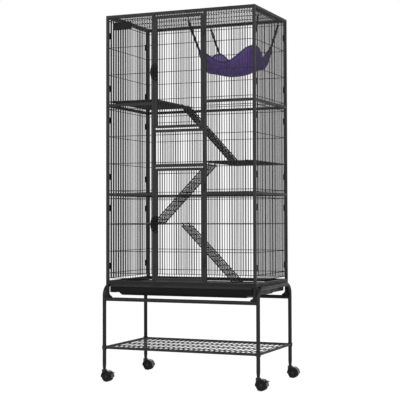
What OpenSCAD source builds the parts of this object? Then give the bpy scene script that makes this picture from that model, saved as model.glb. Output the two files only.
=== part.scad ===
// Tall wire cage for ferrets on a rolling stand.
// +Z up, front door side at -Y, floor at z = 0, origin under the middle of the outline.

/* [Cage] */
// Width of the cage across the front
cage_w = 762; // [700:1:860]
// Depth of the cage from front to back
cage_d = 457; // [430:1:520]
// Side of the square frame tube
tube = 12.7; // [11.5:0.1:14]
// Height of the lowest storey, rail centre to rail centre
low_tier = 394; // [380:1:420]
// Height of the middle storey
mid_tier = 428; // [410:1:440]
// Height of the top storey
top_tier = 427; // [410:1:450]
// Height of the underside of the base frame above the floor
base_z = 464; // [458:1:470]
// Height of the base frame bars
base_h = 17; // [14:0.5:20]
// Open slit between the base frame and the wire panels
slit_h = 10; // [6:0.5:14]

/* [Wires] */
// Thickness of the panel wires
wire_d = 3; // [2:0.1:3.2]
// Spacing of the upright wires
wire_pitch = 12.7; // [11:0.1:16]
// Distance of the first level wire from a rail's centre line
edge_row = 19; // [15:0.5:24]
// Spacing of the inner level wires
row_pitch = 130.3; // [122:0.1:134]
// Height of the lowest inner level wire above the panels' bottom edge
low_row = 122.5; // [110:0.5:128]
// Thickness of the wire that ends a side panel
end_wire_d = 5; // [4:0.5:6]

/* [Doors] */
// Width of the two doors
door_w = 250; // [236:1:262]
// Gap between a door and what surrounds it
door_gap = 1; // [0.6:0.1:1.5]
// Gap above and below a door
door_gap_z = 7; // [4:0.5:9]
// Height of the fixed band of wires between the doors
bridge_h = 175; // [168:1:184]
// Distance from the middle rail's centre down to the fixed band
bridge_drop = 125; // [118:1:132]
// Outer corner radius of a door frame
door_r = 12; // [6:0.5:16]
// Height of a hinge barrel
barrel_h = 36; // [28:1:44]
// Diameter of a hinge barrel
barrel_d = 8; // [7:0.5:9]
// Diameter of a hinge pin
pin_d = 4; // [3:0.1:5]
// Height of a latch case
latch_h = 78; // [68:1:84]
// Thickness of a latch case
latch_t = 9; // [7.5:0.5:11]

/* [Shelves and ladders] */
// Width of a shelf
shelf_w = 255; // [235:1:262]
// Thickness of the rod round a shelf or a ladder
rod_d = 6; // [5:0.5:7]
// Length of a ladder from its hook to its foot
ladder_len = 398; // [392:1:410]
// Width of a ladder
ladder_w = 135; // [115:1:142]
// Distance between the rungs
rung_pitch = 30; // [26:0.5:40]
// Thickness of a rung
rung_d = 4; // [3:0.5:5]
// Distance of the top and bottom ladders' middle line behind the cage's centre
ladder_back_y = 120; // [110:1:128]
// Distance of the middle ladder's middle line in front of the cage's centre
ladder_front_y = 93; // [86:1:104]

/* [Tray] */
// Distance from the base frame's underside down to the ledges that carry the tray
tray_drop = 40; // [34:0.5:42]
// Distance from the base frame's underside down to the underside of the floor grate
grate_drop = 11.8; // [11.6:0.1:14]
// Depth of the narrow bottom part of the tray
tray_deep_h = 15; // [10:0.5:17]
// Wall of the tray
tray_wall = 2.2; // [1.6:0.1:3]
// Height of the bars round the floor grate
grate_bar_h = 10.5; // [8:0.5:11]

/* [Stand] */
// Diameter of the stand tube
leg_d = 18; // [16:0.5:19]
// Height of the centre line of the stand's side bars
stand_top = 456; // [450:1:460]
// Radius of the bend at the top of each leg
bend_r = 50; // [40:1:60]
// Height of the centre line of the stand's long rails
rail_z = 392; // [384:1:396]
// Height of the centre line of the bottom shelf
low_shelf_z = 161; // [140:1:220]
// Diameter of the bottom shelf's rails
low_rail_d = 13; // [11:0.5:15]
// Spacing of the bottom shelf's cross wires
low_pitch = 25.4; // [20:0.1:38]
// Thickness of the bottom shelf's cross wires
low_wire_d = 3.8; // [2.6:0.1:4.2]

/* [Casters] */
// Diameter of the wheels
wheel_d = 50; // [46:1:54]
// Width of one wheel of a pair
wheel_w = 12; // [9:0.5:14]
// Distance of the axle from the swivel's centre line
trail = 17; // [15:0.5:20]
// Height of the swivel's top above the floor
caster_h = 58; // [56:0.5:62]
// Thickness of the hood over the wheels
hood_t = 2.2; // [1.8:0.1:2.6]

/* [Hammock] */
// Width of the hammock cloth between its front corners
cloth_w = 272; // [250:1:280]
// Depth of the hammock cloth between its corners
cloth_d = 268; // [245:1:275]
// Depth of the cloth's sag in the middle below its corners
cloth_sag = 132; // [110:1:145]
// Distance of the cloth's right corners from the cage's right side
cloth_side_gap = 50; // [44:1:60]
// Distance of the cloth's back corners from the cage's back
cloth_back_gap = 32; // [28:1:45]
// Height of the cloth's back corners above its front corners
cloth_back_rise = 23; // [10:1:30]
// Height of the cloth's right corners above its left corners
cloth_right_rise = 12; // [0:1:20]
// Shift of the cloth's back edge to the left
cloth_skew = 5; // [0:1:10]
// Height of the straps between the cage top and the cloth's front right corner
strap_drop = 153; // [140:1:165]
// Thickness of the cloth
cloth_t = 3; // [2:0.2:4]
// Width of a strap
strap_w = 11; // [8:0.5:14]
// Thickness of a strap
strap_t = 1.6; // [1.2:0.1:2.4]

/* [Hidden] */

fit = 0.05;               // radial clearance of a turning fit
rest = 0.3;               // clearance under a piece that rests on another
bite = 1;                 // how far a wire runs into a rail
weld = 0.05;              // hairline between crossing wires of one welded panel
cw = cage_w / 2;
cd = cage_d / 2;
mid_x = cw - tube / 2;    // centre planes of the side and front panels
mid_y = cd - tube / 2;
in_x = cw - tube;
in_y = cd - tube;
base_top = base_z + base_h;
panel_foot = base_top + slit_h;      // the panels end here in a level wire
z3 = panel_foot + tube / 2;          // levels that the rows are measured from; z2 up are rail centres
z2 = z3 + low_tier;
z1 = z2 + mid_tier;
z0 = z1 + top_tier;
cage_top = z0 + tube / 2;
out_row = wire_d / 2 + weld / 2;     // offset of the wires from a panel's middle plane
end_in = 1 + end_wire_d / 4;         // the level wires of a side panel end in its end wires
foot_row = panel_foot + wire_d / 2;
low_rows = [z3 + edge_row, z3 + low_row, z3 + low_row + row_pitch, z2 - edge_row];
mid_rows = [z2 + edge_row, z1 - edge_row - 2 * row_pitch, z1 - edge_row - row_pitch, z1 - edge_row];
top_rows = [z1 + edge_row, z0 - edge_row - 2 * row_pitch, z0 - edge_row - row_pitch, z0 - edge_row];
// doors
post_in = door_w / 2 + door_gap;
post_out = post_in + tube;
bridge_top = z1 - bridge_drop;
bridge_low = bridge_top - bridge_h;
up_door = [bridge_top + door_gap_z, z0 - tube / 2 - door_gap_z];
low_door = [base_top + door_gap_z / 2, bridge_low - door_gap_z];
hinge_x = door_w / 2 + door_gap / 2;
hinge_y = -cd - barrel_d / 2 - 0.4;
leaf_t = 1.5;
up_hinges = [up_door[0] + 70, up_door[1] - 70 - barrel_h];
low_hinges = [low_door[0] + 70, low_door[1] - 70 - barrel_h];
latch_w = 18;
keeper_w = 17;
up_latch_z = z1 + 147.5;
low_latch_z = z2 - 142.5;
bolt_r = 3;
bolt_out = 12;
// shelves and ladders
top_shelf_z = top_rows[0];
mid_shelf_z = mid_rows[1];
bottom_shelf_z = low_rows[2];
shelf_y0 = -in_y + 0.5;
shelf_y1 = mid_y - out_row - wire_d / 2 - rest;
shelf_x1 = mid_x - out_row - wire_d / 2 - rest;
shelf_r = 15;
shelf_edge_x = shelf_x1 - shelf_w;         // free edge of a shelf
rod_in_x = shelf_edge_x + rod_d / 2;       // centre line of the free edge's rod
shelf_up = rod_d / 2;                      // from a shelf's middle to its top
hook_bore = rod_d + 2 * 0.1;
hook_t = 2.6;
hook_w = 4;
hook_lip = 1.2;                            // the hooks' wall behind the wire
// tray and grate
ledge_t = 1.5;
runner_x = cw - tube - 5.3;                // outer face of a runner's web
runner_low = base_z - tray_drop;
grate_low = base_z - grate_drop;
tray_half = runner_x - ledge_t - 1;
tray_top = grate_low - ledge_t - 0.4;
tray_floor = runner_low + ledge_t + rest;
grate_bar = 5;
grate_top = grate_low + grate_bar_h;       // the wires lie flush with the bars' top
tray_y = cd - 3;
step_x = 31.5;                             // ledge round the sunk middle of the tray
step_y = 28;
step_slope = 12;
// ladder angles follow from their length and the heights that they join
foot_up = rod_d / 2 + rest;
drop_top = top_shelf_z - mid_shelf_z - shelf_up - foot_up;
drop_middle = mid_shelf_z - bottom_shelf_z - shelf_up - foot_up;
drop_bottom = bottom_shelf_z - grate_top - foot_up;
// stand and casters
leg_x = cw + 0.5 + leg_d / 2;
leg_y = cd - 1.5;
low_half_x = leg_x - leg_d / 2;
stem_d = 10;
stem_len = 24;
fork_w = 7;
hood_r = wheel_d / 2 + 1.3 + hood_t;
axle_d = 6;
lever_reach = 19;
lever_a = 48;
lever_w = 12.4;
lever_pin_d = 3;
x_high = leg_x + trail + (hood_r - hood_t / 2) * sin(lever_a) + lever_reach - 3;
x_shift = -(x_high - leg_x - leg_d / 2) / 2;
// hammock
anchor_z = z0 - out_row - wire_d / 2;
top_row_y = (in_y - tube / 2 - edge_row) / 2;      // spacing of the cage top's long wires
cloth_top = anchor_z - strap_drop;
cloth_x1 = in_x - cloth_side_gap;
cloth_y1 = in_y - cloth_back_gap;
corner_fl = [cloth_x1 - cloth_w, cloth_y1 - cloth_d, cloth_top - cloth_right_rise];
corner_fr = [cloth_x1, cloth_y1 - cloth_d, cloth_top];
corner_bl = [cloth_x1 - cloth_w - cloth_skew, cloth_y1, cloth_top + cloth_back_rise - cloth_right_rise];
corner_br = [cloth_x1 - cloth_skew, cloth_y1, cloth_top + cloth_back_rise];
front_hem = [0.48, 2.1];             // share of the sag by which a hem dips, and how wide its dip is
back_hem = [0.71, 2.6];
left_hem = [0.56, 1.55];
right_hem = [0.62, 1.85];
hem_fade = 2.3;                      // how fast a hem's dip fades towards the cloth's middle
bowl_dip = 0.52;
cloth_round = 5;                     // exponent of the cloth's rounded outline
cells = 22;

// helpers

module at_cage() translate([x_shift, 0, 0]) children();

module block(a, b) translate(a) cube([b[0] - a[0], b[1] - a[1], b[2] - a[2]]);

module rod_x(x0, x1, y, z, d = wire_d, f = 24)
    translate([x0, y, z]) rotate([0, 90, 0]) cylinder(d = d, h = x1 - x0, $fn = f);

module rod_y(x, y0, y1, z, d = wire_d, f = 24)
    translate([x, y0, z]) rotate([-90, 0, 0]) cylinder(d = d, h = y1 - y0, $fn = f);

module rod_z(x, y, z0, z1, d = wire_d, f = 24)
    translate([x, y, z0]) cylinder(d = d, h = z1 - z0, $fn = f);

function steps(span) = max(2, round(span / wire_pitch));

// wires of a bay that faces the front: uprights outside, level wires inside
module front_wires(x0, x1, z_low, z_high, rows, side = -1) {
    n = steps(x1 - x0);
    for (i = [1:n - 1])
        rod_z(x0 + i * (x1 - x0) / n, side * (mid_y + out_row), z_low - bite, z_high + bite);
    for (z = rows)
        rod_x(x0 - bite, x1 + bite, side * (mid_y - out_row), z);
}

// wires of a side panel between two rails
module side_wires(z_low, z_high, rows) {
    n = steps(2 * in_y);
    for (i = [1:n - 1])
        rod_z(-mid_x - out_row, -in_y + i * 2 * in_y / n, z_low - bite, z_high + bite);
    for (s = [-1, 1])
        rod_z(-mid_x, s * (in_y - end_wire_d / 2 - 1), z_low - bite, z_high + bite, end_wire_d);
    for (z = rows)
        rod_y(-mid_x + out_row, -in_y + end_in, in_y - end_in, z);
}

module rounded(w, h, r) {
    square([w - 2 * r, h], center = true);
    square([w, h - 2 * r], center = true);
    for (sx = [-1, 1], sy = [-1, 1])
        translate([sx * (w / 2 - r), sy * (h / 2 - r)]) circle(r, $fn = 48);
}

// a thin bar between any two points
module strut(a, b, w, t) {
    v = b - a;
    len = norm(v);
    translate(a) rotate([0, acos(v[2] / len), atan2(v[1], v[0])])
        translate([-t / 2, -w / 2, 0]) cube([t, w, len]);
}

// the stand

module side_frame(sx) color("#2f2f31") at_cage() difference() {
    union() {
        for (sy = [-1, 1]) {
            translate([sx * leg_x, sy * leg_y, caster_h + 24])
                cylinder(d = leg_d, h = stand_top - bend_r - caster_h - 24, $fn = 48);
            translate([sx * leg_x, sy * leg_y, caster_h + 1.5])
                cylinder(d1 = 14.5, d2 = leg_d, h = 22.5, $fn = 48);
            translate([sx * leg_x, sy * (leg_y - bend_r), stand_top - bend_r])
                rotate([0, 0, sy * 90]) rotate([90, 0, 0])
                    rotate_extrude(angle = 90, $fn = 96) translate([bend_r, 0]) circle(d = leg_d, $fn = 48);
        }
        rod_y(sx * leg_x, -leg_y + bend_r, leg_y - bend_r, stand_top, leg_d, 48);
    }
    for (sy = [-1, 1])
        translate([sx * leg_x, sy * leg_y, caster_h]) cylinder(d = stem_d + 2 * fit, h = stem_len + 2, $fn = 32);
}

module stand_left_frame() side_frame(-1);

module stand_right_frame() side_frame(1);

module long_rail(sy) color("#2f2f31") at_cage() difference() {
    rod_x(-leg_x, leg_x, sy * leg_y, rail_z, leg_d, 48);
    for (sx = [-1, 1])
        translate([sx * leg_x, sy * leg_y, rail_z - leg_d]) cylinder(d = leg_d + 2 * fit, h = 2 * leg_d, $fn = 48);
}

module stand_front_rail() long_rail(-1);

module stand_back_rail() long_rail(1);

module stand_shelf() color("#343436") at_cage() {
    nx = round(2 * low_half_x / low_pitch);
    difference() {
        union() {
            for (s = [-1, 1]) {
                rod_x(-leg_x, leg_x, s * leg_y, low_shelf_z, low_rail_d, 48);
                rod_y(s * leg_x, -leg_y, leg_y, low_shelf_z, low_rail_d, 48);
                for (t = [-1, 1])
                    translate([s * leg_x, t * leg_y, low_shelf_z - low_rail_d / 2 - 2])
                        cylinder(d = leg_d + 5, h = low_rail_d + 4, $fn = 48);
            }
        }
        for (sx = [-1, 1], sy = [-1, 1])
            translate([sx * leg_x, sy * leg_y, low_shelf_z - low_rail_d])
                cylinder(d = leg_d + 2 * fit, h = 2 * low_rail_d, $fn = 48);
    }
    for (i = [1:nx - 1])
        rod_y(-leg_x + i * 2 * leg_x / nx, -leg_y + 2, leg_y - 2, low_shelf_z + 1.5, low_wire_d);
    for (i = [1:3])
        rod_x(-leg_x + 2, leg_x - 2, -leg_y + i * leg_y / 2, low_shelf_z + 1.5 - low_wire_d / 2 - 2 - weld, 4);
}

// the cage's base: a ring of bars on four short legs that stand on the long rails
module base_frame() color("#323234") at_cage() {
    for (s = [-1, 1]) {
        block([-cw, s > 0 ? in_y : -cd, base_z], [cw, s > 0 ? cd : -in_y, base_top]);
        block([s > 0 ? in_x : -cw, -cd, base_z], [s > 0 ? cw : -in_x, cd, base_top]);
    }
    difference() {
        for (sx = [-1, 1], sy = [-1, 1]) {
            block([sx > 0 ? in_x : -cw, sy > 0 ? in_y : -cd, rail_z + leg_d / 4],
                  [sx > 0 ? cw : -in_x, sy > 0 ? cd : -in_y, base_z + 1]);
            translate([sx * in_x, sy * mid_y, rail_z + leg_d / 2 + 10.5]) rotate([90, 0, 0])
                linear_extrude(4, center = true) difference() {
                    translate([sx > 0 ? -16 : -1, -13]) square([17, 26]);
                    translate([-sx * 19, 13]) circle(18, $fn = 48);
                }
        }
        for (sy = [-1, 1])
            rod_x(-leg_x, leg_x, sy * leg_y, rail_z, leg_d + 2 * fit, 48);
        for (sx = [-1, 1], sy = [-1, 1])
            translate([sx * leg_x, sy * leg_y, 0]) cylinder(d = leg_d + 2 * fit, h = rail_z + 2 * leg_d, $fn = 48);
    }
}

// folded channels under the base frame that carry the grate and the tray
module tray_runners() color("#1c1c1e") at_cage() for (s = [-1, 1]) mirror([s > 0 ? 0 : 1, 0, 0])
    translate([0, in_y - 2, 0]) rotate([90, 0, 0]) linear_extrude(2 * in_y - 4) polygon([
        [runner_x - ledge_t, runner_low], [runner_x, runner_low], [runner_x, base_z - ledge_t],
        [runner_x + 12, base_z - ledge_t], [runner_x + 12, base_z], [runner_x - ledge_t, base_z],
        [runner_x - ledge_t, grate_low - rest], [runner_x - 16, grate_low - rest],
        [runner_x - 16, grate_low - rest - ledge_t], [runner_x - ledge_t, grate_low - rest - ledge_t],
        [runner_x - ledge_t, runner_low + ledge_t], [runner_x - 27, runner_low + ledge_t],
        [runner_x - 27, runner_low]]);

// the cage's panels

module front_bay(side) color("#39393b") at_cage() {
    xa = side > 0 ? post_in : -cw;
    xb = side > 0 ? cw : -post_in;
    xi = side > 0 ? post_out : -in_x;
    xo = side > 0 ? in_x : -post_out;
    for (z = [z2, z1, z0])
        block([xa, -cd, z - tube / 2], [xb, -in_y, z + tube / 2]);
    block([side > 0 ? in_x : -cw, -cd, base_top], [side > 0 ? cw : -in_x, -in_y, cage_top]);
    block([side > 0 ? post_in : -post_out, -cd, base_top],
          [side > 0 ? post_out : -post_in, -in_y, cage_top]);
    front_wires(xi, xo, panel_foot + bite, z2 - tube / 2, concat([foot_row], low_rows));
    front_wires(xi, xo, z2 + tube / 2, z1 - tube / 2, mid_rows);
    front_wires(xi, xo, z1 + tube / 2, z0 - tube / 2, top_rows);
}

module front_left_bay() front_bay(-1);

module front_right_bay() front_bay(1);

// the fixed band of wires between the two doors
module front_bridge() color("#39393b") at_cage() {
    for (z = [bridge_low, bridge_top - tube])
        block([-post_in, -cd, z], [post_in, -in_y, z + tube]);
    front_wires(-post_in + tube / 2, post_in - tube / 2, bridge_low + tube, bridge_top - tube, []);
    for (s = [-1, 1])
        block([s > 0 ? post_in - tube / 2 : -post_in, -cd + 3, bridge_low],
              [s > 0 ? post_in : -post_in + tube / 2, -in_y - 3, bridge_top]);
    for (z = [mid_rows[2], mid_rows[1]])
        rod_x(-post_in + 1, post_in - 1, -mid_y + out_row, z);
}

module front_top_rail() color("#39393b") at_cage()
    block([-post_in, -cd, z0 - tube / 2], [post_in, -in_y, cage_top]);

module back_panel() color("#39393b") at_cage() {
    for (z = [z2, z1, z0])
        block([-cw, in_y, z - tube / 2], [cw, cd, z + tube / 2]);
    for (s = [-1, 1])
        block([s > 0 ? in_x : -cw, in_y, base_top], [s > 0 ? cw : -in_x, cd, cage_top]);
    front_wires(-in_x, in_x, panel_foot + bite, z2 - tube / 2, concat([foot_row], low_rows), 1);
    front_wires(-in_x, in_x, z2 + tube / 2, z1 - tube / 2, mid_rows, 1);
    front_wires(-in_x, in_x, z1 + tube / 2, z0 - tube / 2, top_rows, 1);
}

module side_panel() color("#39393b") {
    for (z = [z2, z1, z0])
        block([-cw, -in_y, z - tube / 2], [-in_x, in_y, z + tube / 2]);
    side_wires(panel_foot + bite, z2 - tube / 2, concat([foot_row], low_rows));
    side_wires(z2 + tube / 2, z1 - tube / 2, mid_rows);
    side_wires(z1 + tube / 2, z0 - tube / 2, top_rows);
}

module left_panel() at_cage() side_panel();

module right_panel() at_cage() mirror([1, 0, 0]) side_panel();

module top_panel() color("#39393b") at_cage() {
    nx = steps(2 * (in_x - tube));
    for (s = [-1, 1]) {
        block([-in_x, s > 0 ? in_y - tube : -in_y, z0 - tube / 2], [in_x, s > 0 ? in_y : -in_y + tube, cage_top]);
        block([s > 0 ? in_x - tube : -in_x, -in_y, z0 - tube / 2], [s > 0 ? in_x : -in_x + tube, in_y, cage_top]);
    }
    for (i = [1:nx - 1])
        rod_y(-in_x + tube + i * 2 * (in_x - tube) / nx, -in_y + tube - bite, in_y - tube + bite, z0 + out_row);
    for (i = [-2:2])
        rod_x(-in_x + tube - bite, in_x - tube + bite, i * top_row_y, z0 - out_row);
}

// sprung clips that tie the end wires of the side panels to the corner posts
clip_z = [z3 + 52, z2 - 64, z2 + 86, z1 - 70, z1 + 84, z0 - 88];
clip_x = out_row + wire_d / 2 + rest;                 // inner face of a clip's back

module panel_clips() color("#161618") at_cage()
    for (sx = [-1, 1], sy = [-1, 1], z = clip_z) mirror([sx > 0 ? 0 : 1, 0, 0]) mirror([0, sy > 0 ? 0 : 1, 0])
        translate([mid_x, in_y, z - 15]) linear_extrude(30) difference() {
            union() {
                translate([clip_x, -20]) square([tube / 2 - 0.45 - clip_x, 20]);
                translate([-4, -8.5]) square([8, 1.6]);
                translate([-4, -19.2]) square([8, 1.6]);
            }
            translate([-5, -14]) square([5 - 3.2 + 2, 4]);
        }

// doors and their ironwork

module door(z_low, z_high, rows, hinges) color("#3b3b3d") at_cage() {
    h = z_high - z_low;
    n = steps(door_w - 2 * tube);
    translate([0, -in_y, (z_low + z_high) / 2]) rotate([90, 0, 0]) linear_extrude(tube) difference() {
        rounded(door_w, h, door_r);
        rounded(door_w - 2 * tube, h - 2 * tube, 2);
    }
    for (i = [1:n - 1])
        rod_z(-door_w / 2 + tube + i * (door_w - 2 * tube) / n, -mid_y - out_row,
              z_low + tube - bite, z_high - tube + bite);
    for (z = rows)
        rod_x(-door_w / 2 + tube - bite, door_w / 2 - tube + bite, -mid_y + out_row, z);
    // the lower half of each hinge barrel belongs to the door
    for (z = hinges) difference() {
        union() {
            translate([hinge_x, hinge_y, z]) cylinder(d = barrel_d, h = barrel_h / 2 - rest / 2, $fn = 32);
            block([hinge_x - 11, -cd - leaf_t, z], [hinge_x - 1, -cd + 0.5, z + barrel_h / 2 - rest / 2]);
            block([hinge_x - 5, hinge_y - 0.5, z], [hinge_x - 2.6, -cd, z + barrel_h / 2 - rest / 2]);
        }
        translate([hinge_x, hinge_y, z - 1]) cylinder(d = pin_d + 2 * fit, h = barrel_h, $fn = 32);
    }
}

module upper_door() door(up_door[0], up_door[1], [
    up_door[0] + tube / 2 + edge_row, top_rows[0], top_rows[1], top_rows[2],
    up_door[1] - tube / 2 - edge_row], up_hinges);

module lower_door() door(low_door[0], low_door[1], [
    low_rows[0], low_rows[1], low_rows[2], low_rows[3], low_door[1] - tube / 2 - edge_row], low_hinges);

// the fixed upper halves of the hinge barrels, with the pins
module door_hinge_leaves() color("#2a2a2c") at_cage() for (z = concat(up_hinges, low_hinges)) {
    translate([hinge_x, hinge_y, z + barrel_h / 2 + rest / 2])
        cylinder(d = barrel_d, h = barrel_h / 2 - rest / 2, $fn = 32);
    translate([hinge_x, hinge_y, z + 1]) cylinder(d = pin_d, h = barrel_h - 2, $fn = 32);
    block([hinge_x + 1, -cd - leaf_t, z + barrel_h / 2 + rest / 2], [hinge_x + 11, -cd, z + barrel_h]);
    block([hinge_x + 2.6, hinge_y - 0.5, z + barrel_h / 2 + rest / 2], [hinge_x + 5, -cd, z + barrel_h]);
}

// latch: a case on the door's stile with a sliding bolt, and a keeper on the post
module latch_case(z) color("#121214") at_cage()
    translate([-door_w / 2 + 1, -cd, z]) difference() {
        rotate([90, 0, 0]) linear_extrude(latch_t) difference() {
            translate([latch_w / 2, 0]) rounded(latch_w, latch_h, 5);
            translate([-3, 0]) circle(2, $fn = 24);
        }
        translate([-1, -latch_t / 2, 0]) rotate([0, 90, 0]) cylinder(r = bolt_r + fit, h = latch_w + 2, $fn = 32);
        translate([latch_w / 2, -latch_t - 1, 0]) rotate([-90, 0, 0]) linear_extrude(latch_t / 2 + 1)
            square([bolt_out + 4.6, 4.6], center = true);
    }

module latch_bolt(z) color("#1a1a1c") at_cage() translate([-door_w / 2 + 1, -cd, z]) {
    translate([0.5, -latch_t / 2, 0]) rotate([0, 90, 0]) cylinder(r = bolt_r, h = latch_w, $fn = 32);
    translate([latch_w / 2 + bolt_out / 2, -latch_t / 2, 0]) rotate([90, 0, 0])
        cylinder(d = 4, h = latch_t / 2 + 3, $fn = 32);
    translate([latch_w / 2 + bolt_out / 2, -latch_t - 1.5, 0]) rotate([90, 0, 0]) cylinder(d = 11, h = 4, $fn = 32);
}

module latch_keeper(z) color("#121214") at_cage()
    translate([-door_w / 2 - door_gap / 2 - keeper_w, -cd, z]) difference() {
        rotate([90, 0, 0]) linear_extrude(latch_t) intersection() {
            translate([0, -latch_h / 2 + 4]) square([keeper_w, latch_h - 8]);
            translate([latch_h * 0.9, 0]) circle(latch_h * 0.9, $fn = 96);
        }
        translate([4, -latch_t / 2, 0]) rotate([0, 90, 0]) cylinder(r = bolt_r + 0.4, h = keeper_w, $fn = 32);
    }

module upper_latch_case() latch_case(up_latch_z);

module upper_latch_bolt() latch_bolt(up_latch_z);

module upper_latch_keeper() latch_keeper(up_latch_z);

module lower_latch_case() latch_case(low_latch_z);

module lower_latch_bolt() latch_bolt(low_latch_z);

module lower_latch_keeper() latch_keeper(low_latch_z);

// shelves: a bent rod with a welded mesh, hung on a level wire of the panels

module shelf(side, z) color("#2c2c2e") at_cage() mirror([side > 0 ? 0 : 1, 0, 0]) translate([0, 0, z]) {
    xa = rod_in_x;
    xb = shelf_x1 - rod_d / 2;
    ya = shelf_y0 + rod_d / 2;
    yb = shelf_y1 - rod_d / 2;
    r = shelf_r - rod_d / 2;
    rod_x(xa, xb - r, ya, 0, rod_d, 32);
    rod_x(xa, xb - r, yb, 0, rod_d, 32);
    rod_y(xa, ya, yb, 0, rod_d, 32);
    rod_y(xb, ya + r, yb - r, 0, rod_d, 32);
    for (y = [ya, yb])
        translate([xa, y, 0]) sphere(d = rod_d, $fn = 32);
    translate([xb - r, ya + r, 0]) rotate([0, 0, -90]) rotate_extrude(angle = 90, $fn = 64)
        translate([r, 0]) circle(d = rod_d, $fn = 32);
    translate([xb - r, yb - r, 0]) rotate_extrude(angle = 90, $fn = 64)
        translate([r, 0]) circle(d = rod_d, $fn = 32);
    nx = steps(xb - xa);
    ny = steps(yb - ya);
    for (i = [1:nx - 1])
        rod_y(xa + i * (xb - xa) / nx, ya, yb, out_row);
    for (i = [1:ny - 1])
        rod_x(xa, xb, ya + i * (yb - ya) / ny, -out_row);
    // flat hooks that reach over the panels' level wire
    for (i = [3.5, nx - 2.5]) let (x = xa + i * (xb - xa) / nx) {
        translate([gap_mid(x, -in_x, in_x) - hook_w / 2, yb, 0]) shelf_hook(shelf_y1 - yb);
        translate([gap_mid(x, post_out, in_x) + hook_w / 2, ya, 0]) rotate([0, 0, 180])
            shelf_hook(ya + mid_y - out_row - wire_d / 2 - rest);
    }
}

// one hook: out along +Y from the rod, over the wire and down behind it
module shelf_hook(reach) {
    w = wire_d + 2 * rest;
    rotate([90, 0, 90]) linear_extrude(hook_w) difference() {
        translate([0, -0.5]) square([reach + w + hook_lip, w / 2 + 2.3]);
        translate([reach + w / 2, 0]) circle(w / 2, $fn = 32);
        translate([reach, -3]) square([w, 3]);
    }
}

module shelf_top_left() shelf(-1, top_shelf_z);

module shelf_middle_right() shelf(1, mid_shelf_z);

module shelf_bottom_left() shelf(-1, bottom_shelf_z);

// ladders: two side rods, rungs, and long wires beneath; it hooks over a shelf's edge rod
module ladder(drop, mid) {
    a = asin(drop / ladder_len);
    half = ladder_w / 2 - rod_d / 2;
    n = steps(2 * half);
    first = 16;
    rungs = floor((ladder_len - first - 6) / rung_pitch);
    rotate([0, a, 0]) {
        for (s = [-1, 1])
            rod_x(first, ladder_len, s * half, 0, rod_d, 32);
        rod_y(first, -half, half, 0, rod_d, 32);
        rod_y(ladder_len, -half, half, 0, rod_d, 32);
        for (x = [first, ladder_len], s = [-1, 1])
            translate([x, s * half, 0]) sphere(d = rod_d, $fn = 32);
        for (i = [1:rungs])
            rod_y(first + i * rung_pitch, -half, half, (rod_d - rung_d) / 2, rung_d);
        for (i = [1:n - 1])
            rod_x(first, ladder_len, -half + i * 2 * half / n, rod_d / 2 - rung_d - weld - wire_d / 2);
        for (s = [-1, 1]) translate([0, gap_mid(mid + s * half * 0.6, shelf_y0 + rod_d / 2,
                                               shelf_y1 - rod_d / 2) - mid, 0]) rotate([90, 0, 0])
            linear_extrude(4, center = true) difference() {
                union() {
                    circle(d = hook_bore + 2 * hook_t, $fn = 48);
                    translate([0, -rod_d / 2]) square([first, rod_d]);
                }
                circle(d = hook_bore, $fn = 48);
                rotate(a - 90) translate([0, -hook_bore / 2]) square([rod_d * 2, hook_bore]);
            }
    }
}

module ladder_top() color("#57565a") at_cage()
    translate([-rod_in_x, ladder_back_y, top_shelf_z]) ladder(drop_top, ladder_back_y);

module ladder_middle() color("#57565a") at_cage()
    translate([rod_in_x, -ladder_front_y, mid_shelf_z]) mirror([1, 0, 0])
        ladder(drop_middle, -ladder_front_y);

module ladder_bottom() color("#57565a") at_cage()
    translate([-rod_in_x, ladder_back_y, bottom_shelf_z]) ladder(drop_bottom, ladder_back_y);

// pull-out grate and tray

module floor_grate() color("#2b2b2d") at_cage() {
    x = tray_half;
    y = tray_y;
    nx = steps(2 * x - 2 * grate_bar);
    for (s = [-1, 1]) {
        block([s > 0 ? x - grate_bar : -x, -y, grate_low], [s > 0 ? x : -x + grate_bar, in_y, grate_top]);
    }
    block([-x, in_y - grate_bar, grate_low], [x, in_y, grate_top]);
    block([-x, -y, grate_low], [x, -y + grate_bar, grate_top]);
    for (i = [1:nx - 1])
        rod_y(-x + grate_bar + i * 2 * (x - grate_bar) / nx, -y + grate_bar - bite, in_y - grate_bar + bite,
              grate_top - wire_d / 2);
    for (i = [-2:2])
        rod_x(-x + grate_bar - bite, x - grate_bar + bite, i * mid_y / 2.6, grate_top - wire_d - weld - wire_d / 2);
}

// outer shape of the tray, drawn in by the wall's thickness where t is above 0
module tray_form(t, up) {
    block([-tray_half + t, -tray_y + t, tray_floor + t], [tray_half - t, in_y - t, tray_top + up]);
    hull() {
        block([-tray_half + step_x + t, -tray_y + step_y + t, tray_floor + t - 0.01],
              [tray_half - step_x - t, in_y - step_y - t, tray_floor + t + 0.1]);
        block([-tray_half + step_x + step_slope + t, -tray_y + step_y + step_slope + t, tray_floor + t - tray_deep_h],
              [tray_half - step_x - step_slope - t, in_y - step_y - step_slope - t, tray_floor + t - tray_deep_h + 0.1]);
    }
}

module tray() color("#17171a") at_cage() difference() {
    tray_form(0, 0);
    tray_form(tray_wall, 2);
}

// casters: hooded twin wheels that trail towards +X

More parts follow.
